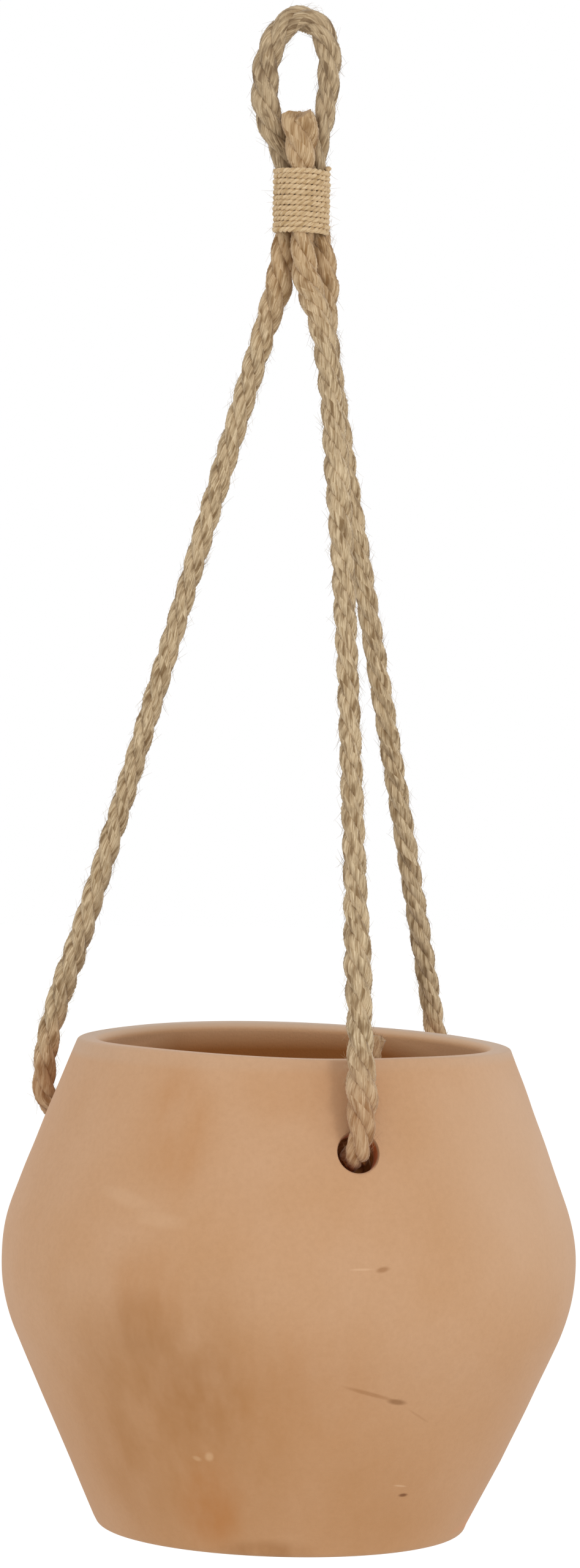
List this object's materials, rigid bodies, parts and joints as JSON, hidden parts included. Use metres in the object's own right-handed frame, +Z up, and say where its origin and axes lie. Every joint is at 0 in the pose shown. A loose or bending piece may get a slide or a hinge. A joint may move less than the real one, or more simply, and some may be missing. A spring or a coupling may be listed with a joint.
{
  "type": "hanging planter",
  "caption": "Round-bellied terracotta pot hung on jute rope legs that pass through holes below its rim, meet in a twine binding and end in a hanging loop.",
  "frame": {"origin": "the point under the crown of the rope loop where a hook carries it, on the pot's axis", "axes": "+Z up along the pot's axis, +Y away from the viewer of the picture, +X to the viewer's right"},
  "size_m": [0.171, 0.171, 0.449],
  "materials": {
    "terracotta": "unglazed, matt, mottled",
    "jute_rope": "three-strand twisted, hairy, matt",
    "jute_twine": "fine twisted twine, matt"
  },
  "bodies": {
    "hanger": {"hanging_loop": "jute_rope", "rope_tail": "jute_rope", "binding": "jute_twine"},
    "neck_upper": {"neck_upper": "jute_rope"},
    "neck_lower": {"neck_lower": "jute_rope"},
    "pot": {"pot": "terracotta", "leg_left": "jute_rope", "leg_front": "jute_rope", "leg_back": "jute_rope", "knot_left": "jute_rope", "knot_front": "jute_rope", "knot_back": "jute_rope"}
  },
  "joints": [
    {"name": "pot_twist", "type": "hinge", "parent": "hanger", "child": "neck_upper", "pos_m": [0, 0, -0.0504], "axis": [0, 0, 1], "range_deg": [-60, 60], "stiffness_Nm_per_rad": 0.02},
    {"name": "pot_sway", "type": "hinge", "parent": "neck_upper", "child": "neck_lower", "pos_m": [0, 0, -0.064], "axis": [1, 0, 0], "range_deg": [-20, 20]},
    {"name": "pot_swing", "type": "hinge", "parent": "neck_lower", "child": "pot", "pos_m": [0, 0, -0.076], "axis": [0, 1, 0], "range_deg": [-20, 20]}
  ]
}
